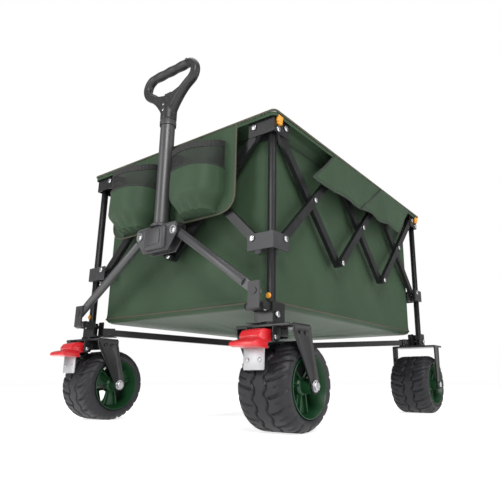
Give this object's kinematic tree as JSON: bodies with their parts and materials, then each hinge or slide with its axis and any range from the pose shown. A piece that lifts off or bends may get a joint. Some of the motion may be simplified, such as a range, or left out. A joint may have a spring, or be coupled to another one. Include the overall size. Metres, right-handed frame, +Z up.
{
  "type": "folding beach cart",
  "caption": "Folding beach cart with a fabric tub in a scissor frame, wide wheels on braked front swivels and a telescopic pull handle",
  "frame": {"origin": "middle of the bounding box, on the floor", "axes": "+X towards the rear along the cart, with the handle end at -X; +Y to the left when facing the handle end from behind; +Z up"},
  "size_m": [0.875, 0.674, 0.8006],
  "materials": {
    "black_metal": "satin black powder coat",
    "grey_metal": "grey powder coat",
    "fabric": "coated woven cloth",
    "tyre": "matt moulded tread",
    "rim": "moulded plastic",
    "pedal": "moulded plastic",
    "grip_plastic": "fine texture",
    "button": "smooth"
  },
  "bodies": {
    "post_front_right": {"post_front_right": "black_metal"},
    "post_front_left": {"post_front_left": "black_metal"},
    "post_rear_right": {"post_rear_right": "black_metal", "fork_rear_right": "black_metal"},
    "post_rear_left": {"post_rear_left": "black_metal", "fork_rear_left": "black_metal"},
    "caster_front_right": {"caster_front_right": "black_metal"},
    "pedal_front_right": {"pedal_front_right": "pedal"},
    "wheel_front_right": {"tyre_front_right": "tyre", "rim_front_right": "rim"},
    "wheel_rear_right": {"tyre_rear_right": "tyre", "rim_rear_right": "rim"},
    "side_right_down_1": {"side_right_down_1": "black_metal"},
    "side_right_down_2": {"side_right_down_2": "black_metal"},
    "side_right_down_3": {"side_right_down_3": "black_metal"},
    "side_right_up_1": {"side_right_up_1": "black_metal"},
    "side_right_up_2": {"side_right_up_2": "black_metal"},
    "side_right_up_3": {"side_right_up_3": "black_metal"},
    "caster_front_left": {"caster_front_left": "black_metal"},
    "pedal_front_left": {"pedal_front_left": "pedal"},
    "wheel_front_left": {"tyre_front_left": "tyre", "rim_front_left": "rim"},
    "wheel_rear_left": {"tyre_rear_left": "tyre", "rim_rear_left": "rim"},
    "side_left_down_1": {"side_left_down_1": "black_metal"},
    "side_left_down_2": {"side_left_down_2": "black_metal"},
    "side_left_down_3": {"side_left_down_3": "black_metal"},
    "side_left_up_1": {"side_left_up_1": "black_metal"},
    "side_left_up_2": {"side_left_up_2": "black_metal"},
    "side_left_up_3": {"side_left_up_3": "black_metal"},
    "front_down_1": {"front_down_1": "black_metal"},
    "front_down_2": {"front_down_2": "black_metal"},
    "front_up_1": {"front_up_1": "black_metal"},
    "front_up_2": {"front_up_2": "black_metal"},
    "collar_front_right": {"collar_front_right": "grey_metal"},
    "arm_front_right": {"arm_front_right": "black_metal"},
    "collar_front_left": {"collar_front_left": "grey_metal"},
    "arm_front_left": {"arm_front_left": "black_metal"},
    "rear_down_1": {"rear_down_1": "black_metal"},
    "rear_down_2": {"rear_down_2": "black_metal"},
    "rear_up_1": {"rear_up_1": "black_metal"},
    "rear_up_2": {"rear_up_2": "black_metal"},
    "collar_rear_right": {"collar_rear_right": "grey_metal"},
    "arm_rear_right": {"arm_rear_right": "black_metal"},
    "collar_rear_left": {"collar_rear_left": "grey_metal"},
    "arm_rear_left": {"arm_rear_left": "black_metal"},
    "floor_hub": {"floor_hub": "black_metal"},
    "tub": {"tub": "fabric"},
    "cup_pockets": {"cup_pockets": "fabric"},
    "side_flap_right": {"side_flap_right": "fabric"},
    "foot_plate_right": {"foot_plate_right": "grey_metal"},
    "strut_right": {"strut_right": "black_metal"},
    "side_flap_left": {"side_flap_left": "fabric"},
    "foot_plate_left": {"foot_plate_left": "grey_metal"},
    "strut_left": {"strut_left": "black_metal"},
    "handle_hub": {"handle_hub": "grip_plastic", "handle_outer_tube": "black_metal"},
    "handle_slider": {"handle_inner_tube": "grey_metal", "handle_grip": "grip_plastic"},
    "grip_button": {"grip_button": "button"}
  },
  "joints": [
    {"name": "fold", "type": "hinge", "parent": "post_front_right", "child": "side_right_down_1", "pos_m": [-0.3295, -0.268, 0.578], "axis": [0, 1, 0], "range_deg": [0, 32.5], "deforming": ["tub", "cup_pockets", "side_flap_right", "side_flap_left"]},
    {"name": "side_right_up_1_hinge", "type": "hinge", "parent": "side_right_down_1", "child": "side_right_up_1", "pos_m": [-0.2135, -0.268, 0.46278], "axis": [0, 1, 0], "range_deg": [-65.01, 0]},
    {"name": "side_right_down_2_hinge", "type": "hinge", "parent": "side_right_up_1", "child": "side_right_down_2", "pos_m": [-0.0975, -0.268, 0.578], "axis": [0, 1, 0], "range_deg": [0, 65.01]},
    {"name": "side_right_up_2_hinge", "type": "hinge", "parent": "side_right_down_2", "child": "side_right_up_2", "pos_m": [0.0185, -0.268, 0.46278], "axis": [0, 1, 0], "range_deg": [-65.01, 0]},
    {"name": "side_right_up_3_hinge", "type": "hinge", "parent": "side_right_down_2", "child": "side_right_up_3", "pos_m": [0.1345, -0.268, 0.34756], "axis": [0, 1, 0], "range_deg": [-65.01, 0]},
    {"name": "side_right_down_3_hinge", "type": "hinge", "parent": "side_right_up_3", "child": "side_right_down_3", "pos_m": [0.2505, -0.268, 0.46278], "axis": [0, 1, 0], "range_deg": [0, 65.01]},
    {"name": "post_rear_right_hinge", "type": "hinge", "parent": "side_right_up_3", "child": "post_rear_right", "pos_m": [0.3665, -0.268, 0.578], "axis": [0, 1, 0], "range_deg": [0, 32.51]},
    {"name": "collar_front_right_hinge", "type": "hinge", "parent": "side_right_up_1", "child": "collar_front_right", "pos_m": [-0.3295, -0.268, 0.34756], "axis": [0, 1, 0], "range_deg": [0, 32.51]},
    {"name": "collar_rear_right_hinge", "type": "hinge", "parent": "side_right_down_3", "child": "collar_rear_right", "pos_m": [0.3665, -0.268, 0.34756], "axis": [0, 1, 0], "range_deg": [-32.51, 0]},
    {"name": "front_down_1_hinge", "type": "hinge", "parent": "post_front_right", "child": "front_down_1", "pos_m": [-0.3555, -0.232, 0.578], "axis": [-1, 0, 0], "range_deg": [0, 32.51]},
    {"name": "front_up_1_hinge", "type": "hinge", "parent": "front_down_1", "child": "front_up_1", "pos_m": [-0.3555, -0.116, 0.46278], "axis": [-1, 0, 0], "range_deg": [-65.01, 0]},
    {"name": "front_up_2_hinge", "type": "hinge", "parent": "front_down_1", "child": "front_up_2", "pos_m": [-0.3555, 0, 0.34756], "axis": [-1, 0, 0], "range_deg": [-65.01, 0]},
    {"name": "front_down_2_hinge", "type": "hinge", "parent": "front_up_2", "child": "front_down_2", "pos_m": [-0.3555, 0.116, 0.46278], "axis": [-1, 0, 0], "range_deg": [0, 65.01]},
    {"name": "post_front_left_hinge", "type": "hinge", "parent": "front_up_2", "child": "post_front_left", "pos_m": [-0.3555, 0.232, 0.578], "axis": [-1, 0, 0], "range_deg": [0, 32.51]},
    {"name": "collar_front_left_hinge", "type": "hinge", "parent": "front_down_2", "child": "collar_front_left", "pos_m": [-0.3555, 0.232, 0.34756], "axis": [-1, 0, 0], "range_deg": [-32.51, 0]},
    {"name": "rear_down_1_hinge", "type": "hinge", "parent": "post_rear_right", "child": "rear_down_1", "pos_m": [0.3925, -0.232, 0.578], "axis": [-1, 0, 0], "range_deg": [0, 32.51]},
    {"name": "rear_up_1_hinge", "type": "hinge", "parent": "rear_down_1", "child": "rear_up_1", "pos_m": [0.3925, -0.116, 0.46278], "axis": [-1, 0, 0], "range_deg": [-65.01, 0]},
    {"name": "rear_up_2_hinge", "type": "hinge", "parent": "rear_down_1", "child": "rear_up_2", "pos_m": [0.3925, 0, 0.34756], "axis": [-1, 0, 0], "range_deg": [-65.01, 0]},
    {"name": "rear_down_2_hinge", "type": "hinge", "parent": "rear_up_2", "child": "rear_down_2", "pos_m": [0.3925, 0.116, 0.46278], "axis": [-1, 0, 0], "range_deg": [0, 65.01]},
    {"name": "post_rear_left_hinge", "type": "hinge", "parent": "rear_up_2", "child": "post_rear_left", "pos_m": [0.3925, 0.232, 0.578], "axis": [-1, 0, 0], "range_deg": [0, 32.51]},
    {"name": "collar_rear_left_hinge", "type": "hinge", "parent": "rear_down_2", "child": "collar_rear_left", "pos_m": [0.3925, 0.232, 0.34756], "axis": [-1, 0, 0], "range_deg": [-32.51, 0]},
    {"name": "side_left_down_1_hinge", "type": "hinge", "parent": "post_front_left", "child": "side_left_down_1", "pos_m": [-0.3295, 0.268, 0.578], "axis": [0, 1, 0], "range_deg": [0, 32.51]},
    {"name": "side_left_up_1_hinge", "type": "hinge", "parent": "side_left_down_1", "child": "side_left_up_1", "pos_m": [-0.2135, 0.268, 0.46278], "axis": [0, 1, 0], "range_deg": [-65.01, 0]},
    {"name": "side_left_down_2_hinge", "type": "hinge", "parent": "side_left_up_1", "child": "side_left_down_2", "pos_m": [-0.0975, 0.268, 0.578], "axis": [0, 1, 0], "range_deg": [0, 65.01]},
    {"name": "side_left_up_2_hinge", "type": "hinge", "parent": "side_left_down_2", "child": "side_left_up_2", "pos_m": [0.0185, 0.268, 0.46278], "axis": [0, 1, 0], "range_deg": [-65.01, 0]},
    {"name": "side_left_up_3_hinge", "type": "hinge", "parent": "side_left_down_2", "child": "side_left_up_3", "pos_m": [0.1345, 0.268, 0.34756], "axis": [0, 1, 0], "range_deg": [-65.01, 0]},
    {"name": "side_left_down_3_hinge", "type": "hinge", "parent": "side_left_up_3", "child": "side_left_down_3", "pos_m": [0.2505, 0.268, 0.46278], "axis": [0, 1, 0], "range_deg": [0, 65.01]},
    {"name": "arm_front_right_hinge", "type": "hinge", "parent": "post_front_right", "child": "arm_front_right", "pos_m": [-0.3295, -0.232, 0.199], "axis": [0.5547, -0.8321, 0], "range_deg": [0, 84.6]},
    {"name": "arm_front_left_hinge", "type": "hinge", "parent": "post_front_left", "child": "arm_front_left", "pos_m": [-0.3295, 0.232, 0.199], "axis": [-0.5547, -0.8321, 0], "range_deg": [0, 84.6]},
    {"name": "arm_rear_right_hinge", "type": "hinge", "parent": "post_rear_right", "child": "arm_rear_right", "pos_m": [0.3665, -0.232, 0.199], "axis": [0.5547, 0.8321, 0], "range_deg": [0, 84.6]},
    {"name": "arm_rear_left_hinge", "type": "hinge", "parent": "post_rear_left", "child": "arm_rear_left", "pos_m": [0.3665, 0.232, 0.199], "axis": [-0.5547, 0.8321, 0], "range_deg": [0, 84.6]},
    {"name": "floor_hub_lift", "type": "slide", "parent": "post_front_right", "child": "floor_hub", "axis": [-0.527, -0.3513, 0.7739], "range_m": [0, 0.45588]},
    {"name": "tub_shift", "type": "slide", "parent": "post_front_right", "child": "tub", "axis": [-0.8321, -0.5547, 0], "range_m": [0, 0.28873]},
    {"name": "cup_pockets_shift", "type": "slide", "parent": "post_front_right", "child": "cup_pockets", "axis": [0, -1, 0], "range_m": [0, 0.16016]},
    {"name": "side_flap_right_shift", "type": "slide", "parent": "post_front_right", "child": "side_flap_right", "axis": [-1, 0, 0], "range_m": [0, 0.24024]},
    {"name": "side_flap_left_shift", "type": "slide", "parent": "post_front_left", "child": "side_flap_left", "axis": [-1, 0, 0], "range_m": [0, 0.24024]},
    {"name": "handle_tilt", "type": "hinge", "parent": "post_front_right", "child": "foot_plate_right", "pos_m": [-0.3885, -0.258, 0.215], "axis": [0, -1, 0], "range_deg": [0, 95]},
    {"name": "foot_plate_left_hinge", "type": "hinge", "parent": "post_front_left", "child": "foot_plate_left", "pos_m": [-0.3885, 0.258, 0.215], "axis": [0, -1, 0], "range_deg": [0, 95.01]},
    {"name": "strut_right_hinge", "type": "hinge", "parent": "foot_plate_right", "child": "strut_right", "pos_m": [-0.3915, -0.262, 0.241], "axis": [1, 0, 0], "range_deg": [0, 43.65]},
    {"name": "handle_hub_hinge", "type": "hinge", "parent": "strut_right", "child": "handle_hub", "pos_m": [-0.3915, -0.052, 0.389], "axis": [1, 0, 0], "range_deg": [-43.65, 0]},
    {"name": "strut_left_hinge", "type": "hinge", "parent": "handle_hub", "child": "strut_left", "pos_m": [-0.3915, 0.052, 0.389], "axis": [1, 0, 0], "range_deg": [-43.65, 0]},
    {"name": "handle_extend", "type": "slide", "parent": "handle_hub", "child": "handle_slider", "axis": [0, 0, 1], "range_m": [0, 0.225]},
    {"name": "grip_button_press", "type": "slide", "parent": "handle_slider", "child": "grip_button", "axis": [0, 0, -1], "range_m": [0, 0.005], "stiffness_N_per_m": 400, "springref_m": -0.002},
    {"name": "swivel_front_right", "type": "hinge", "parent": "post_front_right", "child": "caster_front_right", "pos_m": [-0.3555, -0.268, 0.184], "axis": [0, 0, 1], "continuous": true},
    {"name": "spin_front_right", "type": "hinge", "parent": "caster_front_right", "child": "wheel_front_right", "pos_m": [-0.3105, -0.268, 0.079], "axis": [0, 1, 0], "continuous": true},
    {"name": "spin_rear_right", "type": "hinge", "parent": "post_rear_right", "child": "wheel_rear_right", "pos_m": [0.3585, -0.268, 0.079], "axis": [0, 1, 0], "continuous": true},
    {"name": "brake_front_right", "type": "hinge", "parent": "caster_front_right", "child": "pedal_front_right", "pos_m": [-0.3815, -0.268, 0.16], "axis": [0, -1, 0], "range_deg": [0, 14]},
    {"name": "swivel_front_left", "type": "hinge", "parent": "post_front_left", "child": "caster_front_left", "pos_m": [-0.3555, 0.268, 0.184], "axis": [0, 0, 1], "continuous": true},
    {"name": "spin_front_left", "type": "hinge", "parent": "caster_front_left", "child": "wheel_front_left", "pos_m": [-0.3105, 0.268, 0.079], "axis": [0, 1, 0], "continuous": true},
    {"name": "spin_rear_left", "type": "hinge", "parent": "post_rear_left", "child": "wheel_rear_left", "pos_m": [0.3585, 0.268, 0.079], "axis": [0, 1, 0], "continuous": true},
    {"name": "brake_front_left", "type": "hinge", "parent": "caster_front_left", "child": "pedal_front_left", "pos_m": [-0.3815, 0.268, 0.16], "axis": [0, -1, 0], "range_deg": [0, 14]}
  ],
  "couplings": [
    {"joint": "side_right_up_1_hinge", "follows": "fold", "ratio": -2},
    {"joint": "side_right_down_2_hinge", "follows": "fold", "ratio": 2},
    {"joint": "side_right_up_2_hinge", "follows": "fold", "ratio": -2},
    {"joint": "side_right_up_3_hinge", "follows": "fold", "ratio": -2},
    {"joint": "side_right_down_3_hinge", "follows": "fold", "ratio": 2},
    {"joint": "post_rear_right_hinge", "follows": "fold", "ratio": 1},
    {"joint": "collar_front_right_hinge", "follows": "fold", "ratio": 1},
    {"joint": "collar_rear_right_hinge", "follows": "fold", "ratio": -1},
    {"joint": "front_down_1_hinge", "follows": "fold", "ratio": 1},
    {"joint": "front_up_1_hinge", "follows": "fold", "ratio": -2},
    {"joint": "front_up_2_hinge", "follows": "fold", "ratio": -2},
    {"joint": "front_down_2_hinge", "follows": "fold", "ratio": 2},
    {"joint": "post_front_left_hinge", "follows": "fold", "ratio": 1},
    {"joint": "collar_front_left_hinge", "follows": "fold", "ratio": -1},
    {"joint": "rear_down_1_hinge", "follows": "fold", "ratio": 1},
    {"joint": "rear_up_1_hinge", "follows": "fold", "ratio": -2},
    {"joint": "rear_up_2_hinge", "follows": "fold", "ratio": -2},
    {"joint": "rear_down_2_hinge", "follows": "fold", "ratio": 2},
    {"joint": "post_rear_left_hinge", "follows": "fold", "ratio": 1},
    {"joint": "collar_rear_left_hinge", "follows": "fold", "ratio": -1},
    {"joint": "side_left_down_1_hinge", "follows": "fold", "ratio": 1},
    {"joint": "side_left_up_1_hinge", "follows": "fold", "ratio": -2},
    {"joint": "side_left_down_2_hinge", "follows": "fold", "ratio": 2},
    {"joint": "side_left_up_2_hinge", "follows": "fold", "ratio": -2},
    {"joint": "side_left_up_3_hinge", "follows": "fold", "ratio": -2},
    {"joint": "side_left_down_3_hinge", "follows": "fold", "ratio": 2},
    {"joint": "arm_front_right_hinge", "follows": "fold", "ratio": 2.6028},
    {"joint": "arm_front_left_hinge", "follows": "fold", "ratio": 2.6028},
    {"joint": "arm_rear_right_hinge", "follows": "fold", "ratio": 2.6028},
    {"joint": "arm_rear_left_hinge", "follows": "fold", "ratio": 2.6028},
    {"joint": "floor_hub_lift", "follows": "fold", "m_per_rad": 0.80368},
    {"joint": "tub_shift", "follows": "fold", "m_per_rad": 0.50899},
    {"joint": "cup_pockets_shift", "follows": "fold", "m_per_rad": 0.28234},
    {"joint": "side_flap_right_shift", "follows": "fold", "m_per_rad": 0.42351},
    {"joint": "side_flap_left_shift", "follows": "fold", "m_per_rad": 0.42351},
    {"joint": "foot_plate_left_hinge", "follows": "handle_tilt", "ratio": 1},
    {"joint": "strut_right_hinge", "follows": "fold", "ratio": 1.3427},
    {"joint": "handle_hub_hinge", "follows": "fold", "ratio": -1.3427},
    {"joint": "strut_left_hinge", "follows": "fold", "ratio": -1.3427}
  ]
}
